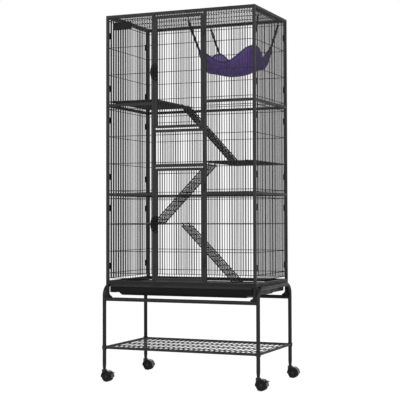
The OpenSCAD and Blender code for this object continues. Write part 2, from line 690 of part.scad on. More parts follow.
module caster_fork(sx, sy, brake) color("#141416") at_cage() translate([sx * leg_x, sy * leg_y, 0]) {
    r = wheel_d / 2;
    edge = fork_w / 2 + wheel_w + 1;
    difference() {
        union() {
            // hood over the wheels
            translate([trail, 0, r]) rotate([90, 0, 0]) linear_extrude(2 * edge, center = true) difference() {
                circle(hood_r, $fn = 96);
                circle(hood_r - hood_t, $fn = 96);
                translate([-hood_r - 1, -hood_r - 1]) square([2 * hood_r + 2, hood_r - 3]);
            }
            // web between the wheels
            translate([trail, 0, r]) rotate([90, 0, 0]) linear_extrude(fork_w, center = true) difference() {
                circle(hood_r - hood_t / 2, $fn = 96);
                translate([-hood_r, -hood_r - 1]) square([2 * hood_r, hood_r - 8]);
            }
            // swivel head and stem
            intersection() {
                translate([0, 0, r + 12]) cylinder(d = 25, h = caster_h - r - 12, $fn = 48);
                difference() {
                    block([-20, -20, 0], [20, 20, caster_h]);
                    translate([trail, 0, r]) rotate([90, 0, 0])
                        cylinder(r = hood_r - hood_t / 2, h = 60, center = true, $fn = 96);
                }
            }
            cylinder(d = stem_d, h = caster_h + stem_len, $fn = 32);
            // ears of the brake lever's pin
            if (brake) translate([trail, 0, r]) rotate([0, lever_a, 0]) translate([0, 0, hood_r - hood_t / 2])
                rotate([90, 0, 0]) cylinder(d = 7, h = lever_w + 6, center = true, $fn = 32);
        }
        // room for the wheels, the axle and the floor
        translate([trail, 0, r]) rotate([90, 0, 0]) cylinder(d = axle_d + 2 * fit, h = 60, center = true, $fn = 32);
        for (s = [-1, 1])
            translate([trail, s * (fork_w / 2 + wheel_w / 2 + 0.5), r]) rotate([90, 0, 0])
                cylinder(r = hood_r - hood_t, h = wheel_w + 1, center = true, $fn = 96);
        if (brake) translate([trail, 0, r]) rotate([0, lever_a, 0]) {
            block([-6, -lever_w / 2 - rest, hood_r - hood_t - 2.4], [6, lever_w / 2 + rest, hood_r + 6]);
            translate([0, 0, hood_r - hood_t / 2]) rotate([90, 0, 0])
                cylinder(d = lever_pin_d + 2 * fit, h = lever_w + 7, center = true, $fn = 32);
        }
    }
}

module caster_fork_front_left() caster_fork(-1, -1, true);

module caster_fork_front_right() caster_fork(1, -1, true);

module caster_fork_back_left() caster_fork(-1, 1, false);

module caster_fork_back_right() caster_fork(1, 1, false);

// a wheel pair on one axle, with rounded treads and dished faces
module wheels(sx, sy) color("#232325") at_cage()
    translate([sx * leg_x + trail, sy * leg_y, wheel_d / 2]) rotate([90, 0, 0]) {
        r = wheel_d / 2;
        cylinder(d = axle_d, h = fork_w + 2, center = true, $fn = 32);
        for (s = [-1, 1]) mirror([0, 0, s > 0 ? 0 : 1]) translate([0, 0, fork_w / 2 + 0.5])
            rotate_extrude($fn = 96) difference() {
                union() {
                    square([r - 2.5, wheel_w]);
                    translate([0, 2.5]) square([r, wheel_w - 5]);
                    translate([r - 2.5, 2.5]) circle(2.5, $fn = 32);
                    translate([r - 2.5, wheel_w - 2.5]) circle(2.5, $fn = 32);
                }
                translate([-10, -5]) square([10, wheel_w + 10]);
                polygon([[6, wheel_w + 1], [7.5, wheel_w - 2], [r - 8, wheel_w - 2], [r - 6.5, wheel_w + 1]]);
            }
    }

module wheels_front_left() wheels(-1, -1);

module wheels_front_right() wheels(1, -1);

module wheels_back_left() wheels(-1, 1);

module wheels_back_right() wheels(1, 1);

// foot lever that locks a front wheel pair
module brake_lever(sx) color("#1b1b1d") at_cage()
    translate([sx * leg_x + trail, -leg_y, wheel_d / 2]) rotate([0, lever_a, 0])
        translate([0, 0, hood_r - hood_t / 2]) rotate([0, -lever_a, 0]) {
            rotate([90, 0, 0]) {
                cylinder(d = lever_pin_d, h = lever_w + 5, center = true, $fn = 32);
                cylinder(d = lever_pin_d + 1.2, h = lever_w, center = true, $fn = 32);
                linear_extrude(lever_w, center = true) polygon([
                    [0, -2.4], [lever_reach - 5, -0.6], [lever_reach - 3, 1.2],
                    [lever_reach - 4.5, 3], [4, 3.2], [0, 3]]);
            }
        }

module brake_front_left() brake_lever(-1);

module brake_front_right() brake_lever(1);

// the hammock: a cloth with rounded corners, hung by them, with dipping edges, a bowl and light pleats
function mix(a, b, t) = a + (b - a) * t;
function hem_dip(hem, along, near) = hem[0] * pow(1 - pow(abs(along), hem[1]), 3.2) * pow((1 + near) / 2, hem_fade);
function cloth_point(i, j) =
    let (p = sin(180 * i / cells - 90), q = sin(180 * j / cells - 90),
         n = cloth_round,
         s = pow(2, 1 / n) * max(abs(p), abs(q), 0.001) / pow(pow(abs(p), n) + pow(abs(q), n) + 1e-12, 1 / n),
         u = (1 + p * s) / 2, v = (1 + q * s) / 2,
         dip = hem_dip(front_hem, p, -q) + hem_dip(back_hem, p, q) + hem_dip(left_hem, q, -p)
             + hem_dip(right_hem, q, p) + bowl_dip * pow(max(0, (1 - p * p) * (1 - q * q)), 0.38),
         pleat = 2.5 * abs(p * q) * (1 - p * p * q * q) * sin(6 * atan2(1 - abs(q), 1.001 - abs(p))))
    mix(mix(corner_fl, corner_fr, u), mix(corner_bl, corner_br, u), v) + [0, 0, pleat - cloth_sag * dip];

module hammock() color("#47395e") at_cage() {
    n = cells;
    m = (n + 1) * (n + 1);
    top = [for (j = [0:n], i = [0:n]) cloth_point(i, j)];
    low = [for (p = top) p - [0, 0, cloth_t]];
    faces = concat(
        [for (j = [0:n - 1], i = [0:n - 1], k = [0, 1]) let (a = j * (n + 1) + i)
            k == 0 ? [a, a + n + 1, a + n + 2] : [a, a + n + 2, a + 1]],
        [for (j = [0:n - 1], i = [0:n - 1], k = [0, 1]) let (a = m + j * (n + 1) + i)
            k == 0 ? [a, a + n + 2, a + n + 1] : [a, a + 1, a + n + 2]],
        [for (i = [0:n - 1], k = [0, 1]) k == 0 ? [i, i + 1, m + i + 1] : [i, m + i + 1, m + i]],
        [for (i = [0:n - 1], k = [0, 1]) let (a = n * (n + 1) + i)
            k == 0 ? [a + 1, a, m + a] : [a + 1, m + a, m + a + 1]],
        [for (j = [0:n - 1], k = [0, 1]) let (a = j * (n + 1), b = a + n + 1)
            k == 0 ? [b, a, m + a] : [b, m + a, m + b]],
        [for (j = [0:n - 1], k = [0, 1]) let (a = j * (n + 1) + n, b = a + n + 1)
            k == 0 ? [a, b, m + b] : [a, m + b, m + a]]);
    polyhedron(concat(top, low), faces);
}

// hooks over the wires of the cage top, one for each strap
function gap_mid(v, a, b) = let (p = (b - a) / steps(b - a)) a + (floor((v - a) / p) + 0.5) * p;
function top_gap(x) = gap_mid(x, -in_x + tube, in_x - tube);
hook_x1 = in_x - tube - wire_pitch / 2;              // the gap next to the top panel's side bar
hook_x0 = hook_x1 - cloth_w - 88;
anchor_fl = [top_gap(hook_x0), -top_row_y, anchor_z];
anchor_fr = [top_gap(hook_x1), -top_row_y, anchor_z];
anchor_bl = [top_gap(hook_x0), 2 * top_row_y, anchor_z];
anchor_br = [top_gap(hook_x1), 2 * top_row_y, anchor_z];
hook_r = 6;
hook_body_d = 6;

module strap_hooks() color("#3a3a3c") at_cage() for (a = [anchor_fl, anchor_fr, anchor_bl, anchor_br])
    translate(a + [0, 0, wire_d / 2]) {
        translate([0, 0, -hook_r + wire_d / 2 + 1.2 + 0.1]) rotate([0, 90, 0])
            rotate_extrude($fn = 48) translate([hook_r, 0]) circle(d = 2.2, $fn = 24);
        translate([0, 0, -hook_r * 2 - hook_body_d]) cylinder(d = hook_body_d, h = 8.2, $fn = 32);
    }

module hammock_straps() color("#141416") at_cage() {
    for (k = [[anchor_fl, corner_fl], [anchor_fr, corner_fr], [anchor_bl, corner_bl], [anchor_br, corner_br]]) {
        hook = k[0] + [0, 0, wire_d / 2 - hook_r * 2 - hook_body_d];
        v = k[1] - hook;
        // a strap hangs with its flat side to the front, so it starts where its raised edge clears the hook
        start = hook - [0, 0, rest + hook_body_d / 2 * norm([v[0], v[1]]) / abs(v[2])];
        strut(start, k[1] - rest * v / norm(v), strap_t, strap_w);
    }
}

stand_left_frame();
stand_right_frame();
stand_front_rail();
stand_back_rail();
stand_shelf();
base_frame();
tray_runners();
front_left_bay();
front_right_bay();
front_bridge();
front_top_rail();
back_panel();
left_panel();
right_panel();
top_panel();
panel_clips();
door_hinge_leaves();
upper_latch_keeper();
lower_latch_keeper();
shelf_top_left();
shelf_middle_right();
shelf_bottom_left();
hammock();
hammock_straps();
strap_hooks();
upper_door();
upper_latch_case();
upper_latch_bolt();
lower_door();
lower_latch_case();
lower_latch_bolt();
tray();
floor_grate();
ladder_top();
ladder_middle();
ladder_bottom();
caster_fork_front_left();
caster_fork_front_right();
caster_fork_back_left();
caster_fork_back_right();
wheels_front_left();
wheels_front_right();
wheels_back_left();
wheels_back_right();
brake_front_left();
brake_front_right();
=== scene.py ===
"""Looks of a tall wire cage for ferrets on a rolling stand.

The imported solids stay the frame: tubes, wires, shelves, ladders, tray and casters keep their
shapes and get their finishes here. The hammock cloth, its hems and straps, the bare plate and
the small trim are made here, each riding on the body that carries it.
"""
import logging
import math
from dataclasses import dataclass, field
from enum import Enum
from typing import Any, Callable, ClassVar, Sequence

import bmesh
import bpy
from mathutils import Matrix, Vector


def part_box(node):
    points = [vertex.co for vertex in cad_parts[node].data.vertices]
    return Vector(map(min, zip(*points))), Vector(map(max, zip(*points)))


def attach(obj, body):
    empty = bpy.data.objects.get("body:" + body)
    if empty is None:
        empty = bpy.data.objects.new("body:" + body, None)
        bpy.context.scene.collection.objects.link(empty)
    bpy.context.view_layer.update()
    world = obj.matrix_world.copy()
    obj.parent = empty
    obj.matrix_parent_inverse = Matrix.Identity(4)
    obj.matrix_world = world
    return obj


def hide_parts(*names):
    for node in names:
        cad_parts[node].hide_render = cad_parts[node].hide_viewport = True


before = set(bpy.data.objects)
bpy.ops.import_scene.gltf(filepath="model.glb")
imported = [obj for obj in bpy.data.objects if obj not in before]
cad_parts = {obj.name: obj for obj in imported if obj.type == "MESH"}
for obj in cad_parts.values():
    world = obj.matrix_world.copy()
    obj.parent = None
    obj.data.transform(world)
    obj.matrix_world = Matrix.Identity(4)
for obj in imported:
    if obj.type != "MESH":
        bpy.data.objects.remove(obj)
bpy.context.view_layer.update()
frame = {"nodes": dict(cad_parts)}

MM = 0.001
MERGE = 1e-6  # points that are closer than this are one point
LOG = logging.getLogger("ferret_cage")

Tree = bpy.types.NodeTree
Node = bpy.types.Node
Socket = bpy.types.NodeSocket
Material = bpy.types.Material
Piece = bpy.types.Object
Shape = bmesh.types.BMesh
Vertex = bmesh.types.BMVert
Pair = tuple[float, float]
Triple = tuple[float, float, float]

# The cage's own middle stands a little to -X of the frame's origin, as the casters trail to +X.
MIDDLE_X = (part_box("front_left_bay")[0].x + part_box("front_right_bay")[1].x) / 2


def at_cage(x: float, y: float, z: float) -> Vector:
    """Turn millimetres measured from the cage's middle to a point of the frame."""
    return Vector((MIDDLE_X + x * MM, y * MM, z * MM))


def mm(*sizes: float) -> tuple[float, ...]:
    """Turn millimetres to metres."""
    return tuple(size * MM for size in sizes)


def linear(code: str) -> tuple[float, float, float, float]:
    """Turn an sRGB hex colour to linear RGBA.

    Args:
        code: the colour as "#rrggbb".

    Returns:
        Red, green, blue and alpha for a shader socket.
    """
    parts = [int(code[i:i + 2], 16) / 255 for i in (1, 3, 5)]
    red, green, blue = (c / 12.92 if c <= 0.04045 else ((c + 0.055) / 1.055) ** 2.4 for c in parts)
    return red, green, blue, 1.0


# ------------ finishes


WHITE = linear("#ffffff")
MATH, NOISE = "ShaderNodeMath", "ShaderNodeTexNoise"


def add_node(tree: Tree, kind: str, settings: dict[str, Any] | None = None,
             inputs: dict[Any, Any] | None = None) -> Node:
    """Add a node with its settings and what goes into it.

    Args:
        tree: the node tree.
        kind: the node's type name.
        settings: attributes of the node.
        inputs: for each input socket, by name or number, a constant or the socket that feeds it.

    Returns:
        The new node.
    """
    made = tree.nodes.new(kind)
    for key, value in (settings or {}).items():
        setattr(made, key, value)
    for key, value in (inputs or {}).items():
        if isinstance(value, Socket):
            tree.links.new(value, made.inputs[key])
        else:
            made.inputs[key].default_value = value
    return made


def scale(size_mm: float) -> float:
    """Turn the real size of a pattern's spots, in millimetres, to the pattern's scale."""
    return 1 / (size_mm * MM)


@dataclass(frozen=True)
class Finish:
    """What every finish shares.

    Attributes:
        name: the material's name, after the real one.
        colour: its main colour.
        second: the colour that it varies to.
        grain_mm: size of its grain.
        relief_mm: depth of its relief.
        roughness: from 0, polished, to 1, matt.
        shine: how strongly it mirrors, 0.5 for a bare plastic.
    """

    name: str
    colour: str
    second: str
    grain_mm: float
    relief_mm: float
    roughness: float
    shine: float = field(default=0.5, kw_only=True)

    COMMON: ClassVar[Pair] = (0.3, 0.7)  # nearly all of a noise lies between

    def material(self) -> Material:
        """Make the material, which each kind of finish does in its own way."""
        raise NotImplementedError

    def blank(self) -> tuple[Material, Tree, Node]:
        """Make an empty material with its shader and output.

        Returns:
            The material, its node tree and its Principled shader.
        """
        made = bpy.data.materials.new(self.name)
        made.use_nodes = True
        tree = made.node_tree
        tree.nodes.clear()
        shader = add_node(tree, "ShaderNodeBsdfPrincipled", inputs={
            "Roughness": self.roughness, "Specular IOR Level": self.shine})
        add_node(tree, "ShaderNodeOutputMaterial", inputs={"Surface": shader.outputs["BSDF"]})
        made.diffuse_color = linear(self.colour)
        return made, tree, shader

    def cover(self, tree: Tree, shader: Node, shade: Socket, span: Pair = (0.35, 0.7)) -> None:
        """Mix the finish's two colours by a pattern.

        Args:
            tree: the node tree.
            shader: the Principled shader.
            shade: the pattern that steers the mix.
            span: the pattern's values that give only the first and only the second colour.
        """
        steer = add_node(tree, "ShaderNodeMapRange", inputs={
            "Value": shade, "From Min": span[0], "From Max": span[1]})
        mixed = add_node(tree, "ShaderNodeMix", {"data_type": "RGBA"}, {
            0: steer.outputs["Result"], 6: linear(self.colour), 7: linear(self.second)})
        tree.links.new(mixed.outputs[2], shader.inputs["Base Color"])

    def polish(self, tree: Tree, shader: Node, pattern: Socket, less: float,
               more: float) -> None:
        """Vary the gloss by a pattern.

        Args:
            tree: the node tree.
            shader: the Principled shader.
            pattern: the noise that steers it.
            less: how far the roughness falls below the finish's own.
            more: how far it rises above it.
        """
        low, high = self.COMMON
        ranged = add_node(tree, "ShaderNodeMapRange", inputs={
            "Value": pattern, "From Min": low, "From Max": high,
            "To Min": self.roughness - less, "To Max": self.roughness + more})
        tree.links.new(ranged.outputs["Result"], shader.inputs["Roughness"])

    def emboss(self, tree: Tree, shader: Node, height: Socket, strength: float) -> None:
        """Raise a pattern as relief of the finish's real depth.

        Args:
            tree: the node tree.
            shader: the Principled shader.
            height: the pattern.
            strength: how much of it shows.
        """
        bump = add_node(tree, "ShaderNodeBump", inputs={
            "Height": height, "Strength": strength, "Distance": self.relief_mm * MM})
        tree.links.new(bump.outputs["Normal"], shader.inputs["Normal"])


@dataclass(frozen=True)
class PowderCoat(Finish):
    """Polyester powder baked on steel: dark satin skin, orange-peel ripple, fine lighter flecks."""

    PATCH_MM: ClassVar[float] = 60.0  # size of rubbed and dull patches
    RIPPLE: ClassVar[float] = 1.6  # size of the ripple, in grains

    def material(self) -> Material:
        """Make the coat: flecks in the colour, ripple in the relief, patches in the gloss.

        Returns:
            The material.
        """
        made, tree, shader = self.blank()
        where = add_node(tree, "ShaderNodeTexCoord").outputs["Object"]
        fleck = add_node(tree, NOISE, inputs={
            "Vector": where, "Scale": scale(self.grain_mm), "Detail": 2.0, "Roughness": 0.7})
        self.cover(tree, shader, fleck.outputs["Fac"], (0.42, 0.68))
        rubbed = add_node(tree, NOISE, inputs={
            "Vector": where, "Scale": scale(self.PATCH_MM), "Detail": 4.0, "Roughness": 0.55})
        self.polish(tree, shader, rubbed.outputs["Fac"], 0.06, 0.1)
        ripple = add_node(tree, NOISE, inputs={
            "Vector": where, "Scale": scale(self.grain_mm * self.RIPPLE), "Detail": 2.0,
            "Roughness": 0.55})
        self.emboss(tree, shader, ripple.outputs["Fac"], 0.45)
        return made


@dataclass(frozen=True)
class Moulded(Finish):
    """Injection-moulded plastic: spark-eroded grain, faint flow marks, soft gloss."""

    flow_mm: float = 45.0

    IOR: ClassVar[float] = 1.49  # polypropylene, nylon
    DRAWN: ClassVar[Triple] = (0.3, 1.0, 1.0)  # flow marks run along X

    def material(self) -> Material:
        """Make the plastic: flow marks in the colour, grain in relief and gloss.

        Returns:
            The material.
        """
        made, tree, shader = self.blank()
        shader.inputs["IOR"].default_value = self.IOR
        where = add_node(tree, "ShaderNodeTexCoord").outputs["Object"]
        drawn = add_node(tree, "ShaderNodeMapping", inputs={"Vector": where, "Scale": self.DRAWN})
        flow = add_node(tree, NOISE, inputs={
            "Vector": drawn.outputs["Vector"], "Scale": scale(self.flow_mm), "Detail": 3.0,
            "Roughness": 0.55})
        self.cover(tree, shader, flow.outputs["Fac"])
        grain = add_node(tree, NOISE, inputs={
            "Vector": where, "Scale": scale(self.grain_mm), "Detail": 2.0,
            "Roughness": 0.6}).outputs["Fac"]
        self.polish(tree, shader, grain, 0.05, 0.09)
        self.emboss(tree, shader, grain, 0.4)
        return made


@dataclass(frozen=True)
class Tyre(Finish):
    """Thermoplastic rubber of a caster's tread: matt, with a little dust."""

    DUST_MM: ClassVar[float] = 9.0

    def material(self) -> Material:
        """Make the rubber: dust in the colour, fine pores in the relief.

        Returns:
            The material.
        """
        made, tree, shader = self.blank()
        where = add_node(tree, "ShaderNodeTexCoord").outputs["Object"]
        dust = add_node(tree, NOISE, inputs={
            "Vector": where, "Scale": scale(self.DUST_MM), "Detail": 5.0, "Roughness": 0.65})
        self.cover(tree, shader, dust.outputs["Fac"], (0.5, 0.75))
        pores = add_node(tree, NOISE, inputs={
            "Vector": where, "Scale": scale(self.grain_mm), "Detail": 2.0, "Roughness": 0.55})
        self.emboss(tree, shader, pores.outputs["Fac"], 0.5)
        return made


@dataclass(frozen=True)
class Wire(Finish):
    """Bent spring wire with a thin black oxide: a metal whose drawn lines show in the gloss."""

    DRAWN: ClassVar[Triple] = (1.0, 1.0, 0.15)  # lines run along Z

    def material(self) -> Material:
        """Make the wire: drawn lines in colour, gloss and relief.

        Returns:
            The material.
        """
        made, tree, shader = self.blank()
        shader.inputs["Metallic"].default_value = 1.0
        where = add_node(tree, "ShaderNodeTexCoord").outputs["Object"]
        drawn = add_node(tree, "ShaderNodeMapping", inputs={"Vector": where, "Scale": self.DRAWN})
        lines = add_node(tree, NOISE, inputs={
            "Vector": drawn.outputs["Vector"], "Scale": scale(self.grain_mm), "Detail": 3.0,
            "Roughness": 0.55}).outputs["Fac"]
        self.cover(tree, shader, lines)
        self.polish(tree, shader, lines, 0.08, 0.12)
        self.emboss(tree, shader, lines, 0.25)
        return made


class Weave(Enum):
    """How a cloth's threads cross."""

    PLAIN = "plain"
    RIBBED = "ribbed"
    NAPPED = "napped"


@dataclass(frozen=True)
class Woven(Finish):
    """Cloth or webbing whose pattern follows the piece's own UV map, in metres along the cloth.

    grain_mm is the spacing of the threads. Real threads stand 0.4 to 0.6 mm apart, too fine to
    show in the render, so they are drawn as coarse as they need to be to show.
    """

    weave: Weave = Weave.PLAIN
    sheen: float = 0.25

    SHEEN_ROUGHNESS: ClassVar[float] = 0.45
    FOLD_SHADE_MM: ClassVar[float] = 35.0  # size of the patches of painted fold shade
    WEFT: ClassVar[float] = 0.35  # height of a ribbed cloth's lower threads
    THREAD_SHADE_SHOWS: ClassVar[float] = 0.3  # share of the threads' height in the colour: painted shade between them, painted light on their tops
    FOLD_SHADE_SHOWS: ClassVar[float] = 0.8  # share of the painted fold shade in it

    def material(self) -> Material:
        """Make the cloth: threads in relief, painted shade between the threads, patches of painted
        fold shade, a soft sheen.

        Returns:
            The material.
        """
        made, tree, shader = self.blank()
        shader.inputs["Sheen Weight"].default_value = self.sheen
        shader.inputs["Sheen Roughness"].default_value = self.SHEEN_ROUGHNESS
        shader.inputs["Sheen Tint"].default_value = linear(self.second)
        flat = add_node(tree, "ShaderNodeUVMap", {"uv_map": "cut"}).outputs["UV"]
        height = self._height(tree, flat)
        # Random patches that darken and lighten the colour: painted fold shade.
        fold_shade = add_node(tree, NOISE, inputs={
            "Vector": flat, "Scale": scale(self.FOLD_SHADE_MM), "Detail": 4.0,
            "Roughness": 0.6}).outputs["Fac"]
        # Raised threads lighter and the gaps between them darker: painted light and shade on the
        # weave.
        threads = add_node(tree, MATH, {"operation": "MULTIPLY"}, {0: height, 1: self.THREAD_SHADE_SHOWS})
        fold_shading = add_node(tree, MATH, {"operation": "MULTIPLY"}, {0: fold_shade, 1: self.FOLD_SHADE_SHOWS})
        shade = add_node(tree, MATH, {"operation": "ADD"}, {
            0: threads.outputs[0], 1: fold_shading.outputs[0]})
        self.cover(tree, shader, shade.outputs[0], (0.3, 0.85))
        self.emboss(tree, shader, height, 0.6)
        return made

    def _height(self, tree: Tree, flat: Socket) -> Socket:
        """Cross the threads as the weave does, or brush them up into a nap.

        Args:
            tree: the node tree.
            flat: the cloth's UV socket.

        Returns:
            The height's socket, from 0 to 1.
        """
        if self.weave is Weave.NAPPED:
            return add_node(tree, NOISE, inputs={
                "Vector": flat, "Scale": scale(self.grain_mm), "Detail": 5.0,
                "Roughness": 0.75}).outputs["Fac"]
        parts = add_node(tree, "ShaderNodeSeparateXYZ", inputs={"Vector": flat})
        across, along = (self._threads(tree, parts.outputs[axis]) for axis in ("X", "Y"))
        if self.weave is Weave.PLAIN:
            return add_node(tree, MATH, {"operation": "MULTIPLY"}, {0: across, 1: along}).outputs[0]
        weft = add_node(tree, MATH, {"operation": "MULTIPLY"}, {0: along, 1: self.WEFT}).outputs[0]
        return add_node(tree, MATH, {"operation": "MAXIMUM"}, {0: across, 1: weft}).outputs[0]

    def _threads(self, tree: Tree, way: Socket) -> Socket:
        """Draw rounded threads across one direction.

        Args:
            tree: the node tree.
            way: the coordinate in that direction.

        Returns:
            The pattern's socket, from 0 between the threads to 1 on them.
        """
        pitch = math.pi / (self.grain_mm * MM)
        turns = add_node(tree, MATH, {"operation": "MULTIPLY"}, {0: way, 1: pitch})
        wave = add_node(tree, MATH, {"operation": "SINE"}, {0: turns.outputs[0]})
        return add_node(tree, MATH, {"operation": "ABSOLUTE"}, {0: wave.outputs[0]}).outputs[0]


@dataclass(frozen=True)
class Finishes:
    """Every finish of the object, named for the real material."""

    # Powder coat on the square cage tubes and their wires: dull charcoal, no mirrored lamps.
    cage: PowderCoat = PowderCoat(
        "powder_coat_charcoal", "#232223", "#2c2b2d", 1.2, 0.10, 0.5, shine=0.12)
    # The same coat on the base frame round the tray: nearly black.
    base: PowderCoat = PowderCoat(
        "powder_coat_base", "#121113", "#1d1c1e", 1.2, 0.10, 0.5, shine=0.14)
    # The round tubes of the stand, smoother: a long soft highlight down each leg.
    stand: PowderCoat = PowderCoat(
        "powder_coat_stand", "#111012", "#1b1a1c", 1.8, 0.08, 0.45, shine=0.2)
    # Thicker coat on shelf and grate wires, dipped after welding: black, rounded crossings.
    shelf: PowderCoat = PowderCoat(
        "powder_coat_shelf", "#060607", "#121213", 1.6, 0.10, 0.55, shine=0.3)
    # The ladders' coat: flat near-black, hardly any gloss.
    ladder: PowderCoat = PowderCoat(
        "powder_coat_ladder", "#0f0f10", "#1c1b1d", 1.6, 0.10, 0.55, shine=0.08)
    # Rolled sheet runners: a thin dark coat with a low gloss.
    runner: PowderCoat = PowderCoat(
        "powder_coat_runner", "#080809", "#121213", 1.8, 0.06, 0.5, shine=0.3)
    # Moulded tray of black polypropylene: haircell grain that breaks the gloss.
    tray: Moulded = Moulded(
        "polypropylene_tray", "#040405", "#0b0b0c", 1.4, 0.12, 0.55, 70.0, shine=0.1)
    # Polished nylon of the casters' hoods, hubs and brake levers: small bright highlights.
    hood: Moulded = Moulded(
        "nylon_polished", "#020203", "#070708", 0.9, 0.04, 0.27, 18.0, shine=0.4)
    # Nylon clips, latches and slides: dull black.
    nylon: Moulded = Moulded(
        "nylon_black", "#030304", "#080809", 0.9, 0.06, 0.5, 18.0, shine=0.1)
    # Plate of ABS: smooth and even.
    plate: Moulded = Moulded(
        "abs_plate", "#060607", "#0f0f10", 0.7, 0.04, 0.5, 30.0, shine=0.1)
    # Rubber treads: matt, with pores.
    tyre: Tyre = Tyre(
        "rubber_tread", "#050506", "#111112", 1.0, 0.15, 0.8, shine=0.25)
    # Blackened spring wire of hooks and screws: dark metal with drawn lines.
    wire: Wire = Wire(
        "wire_blackened", "#2c2c2f", "#4b4b50", 0.8, 0.03, 0.38)
    # Hammock outside, plain-woven polyester: deep purple with a faint sheen.
    cloth: Woven = Woven(
        "polyester_purple", "#453570", "#624b8d", 1.5, 0.20, 0.82, Weave.PLAIN, 0.22, shine=0.25)
    # Hammock inside, brushed fleece: paler and greyer, soft all over.
    fleece: Woven = Woven(
        "fleece_mauve", "#554573", "#776b99", 2.2, 0.6, 0.95, Weave.NAPPED, 0.5, shine=0.25)
    # Binding tape folded over the cloth's edge: a darker ribbed line.
    binding: Woven = Woven(
        "binding_dark", "#2a2044", "#3d315c", 1.2, 0.25, 0.8, Weave.RIBBED, 0.2, shine=0.25)
    # Nylon webbing of the straps: black, ribbed.
    webbing: Woven = Woven(
        "webbing_black", "#0b0b0d", "#1d1d20", 1.4, 0.30, 0.7, Weave.RIBBED, 0.15, shine=0.25)
    # Polyester sewing thread: paler dashes along the tape.
    thread: Woven = Woven(
        "thread_violet", "#4c3f66", "#6c5f88", 0.8, 0.10, 0.8, Weave.RIBBED, 0.2, shine=0.25)


# ------------ shapes


def piece(name: str, bm: Shape, materials: Sequence[Material], body: str,
          recalculate: bool = True) -> Piece:
    """Turn a bmesh into a piece that rides on a body.

    Args:
        name: the piece's name.
        bm: its shape, in place, in metres. It is freed.
        materials: its materials, by face index.
        body: the body that carries it.
        recalculate: whether its faces are turned outwards first.

    Returns:
        The new object.
    """
    if recalculate:
        bmesh.ops.recalc_face_normals(bm, faces=bm.faces)
    mesh = bpy.data.meshes.new(name)
    bm.to_mesh(mesh)
    bm.free()
    for material in materials:
        mesh.materials.append(material)
    mesh.polygons.foreach_set("use_smooth", [True] * len(mesh.polygons))
    made = bpy.data.objects.new(name, mesh)
    bpy.context.scene.collection.objects.link(made)
    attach(made, body)
    LOG.info("%s: %d faces on %s", name, len(mesh.polygons), body)
    return made


def soften(made: Piece, width: float) -> Piece:
    """Round a piece's edges with two faces.

    Args:
        made: the piece.
        width: width of the bevel.

    Returns:
        The same piece.
    """
    bevel = made.modifiers.new("edge", "BEVEL")
    bevel.width, bevel.segments, bevel.limit_method = width, 2, "ANGLE"
    return made


def thicken(made: Piece, thickness: float) -> bpy.types.Modifier:
    """Give a sheet its thickness, half to each side.

    Args:
        made: the sheet.
        thickness: the whole thickness.

    Returns:
        The modifier that does it.
    """
    shell = made.modifiers.new("thickness", "SOLIDIFY")
    shell.thickness, shell.offset = thickness, 0
    return shell


def unroll(bm: Shape, cut: dict[Vertex, Sequence[float]]) -> None:
    """Write where each point lies on the flat cloth, in metres, to the UV map that the weave reads.

    Args:
        bm: the cloth's shape.
        cut: the flat place of each of its vertices.
    """
    layer = bm.loops.layers.uv.new("cut")
    for face in bm.faces:
        for loop in face.loops:
            loop[layer].uv = cut[loop.vert]


def slab(bm: Shape, centre: Vector, size: Sequence[float], corner: float = 0.0,
         along: int = 1) -> list[Vertex]:
    """Add a slab whose corners are rounded when seen along one axis.

    Args:
        bm: the shape to add to.
        centre: its middle.
        size: its three sides.
        corner: radius of the rounded corners.
        along: the axis that it is seen along, 0 to 2.

    Returns:
        Its vertices.
    """
    parallel, steps = 0.9, 5  # how true to the axis an edge is, and faces in a corner
    new = bmesh.ops.create_cube(bm, size=1)["verts"]
    place = Matrix.Translation(centre) @ Matrix.Diagonal((*size, 1))
    bmesh.ops.transform(bm, matrix=place, verts=new)
    if corner:
        edges = {e for v in new for e in v.link_edges
                 if abs((e.verts[0].co - e.verts[1].co).normalized()[along]) > parallel}
        cut = bmesh.ops.bevel(bm, geom=list(edges), offset=corner, segments=steps, profile=0.5,
                              affect="EDGES", material=-1)
        new = list({v for v in new if v.is_valid} | set(cut["verts"]))
    return new


def turned(bm: Shape, profile: Sequence[Pair], place: Matrix, steps: int = 32) -> None:
    """Spin a profile of (radius, height) points round Z, then put it in place.

    Args:
        bm: the shape to add to.
        profile: the points from one pole or rim to the other, in metres.
        place: the transform that puts the turned shape in place.
        steps: faces round the shape.
    """
    own = bmesh.new()
    points = [own.verts.new((r, 0, z)) for r, z in profile]
    edges = [own.edges.new(pair) for pair in zip(points, points[1:])]
    bmesh.ops.spin(own, geom=points + edges, cent=(0, 0, 0), axis=(0, 0, 1), dvec=(0, 0, 0),
                   angle=2 * math.pi, steps=steps, use_merge=True, use_duplicate=False)
    bmesh.ops.remove_doubles(own, verts=own.verts, dist=MERGE)
    bmesh.ops.recalc_face_normals(own, faces=own.faces)
    bmesh.ops.transform(own, matrix=place, verts=own.verts)
    held = bpy.data.meshes.new("turned")
    own.to_mesh(held)
    own.free()
    bm.from_mesh(held)
    bpy.data.meshes.remove(held)


# ------------ frame finishes


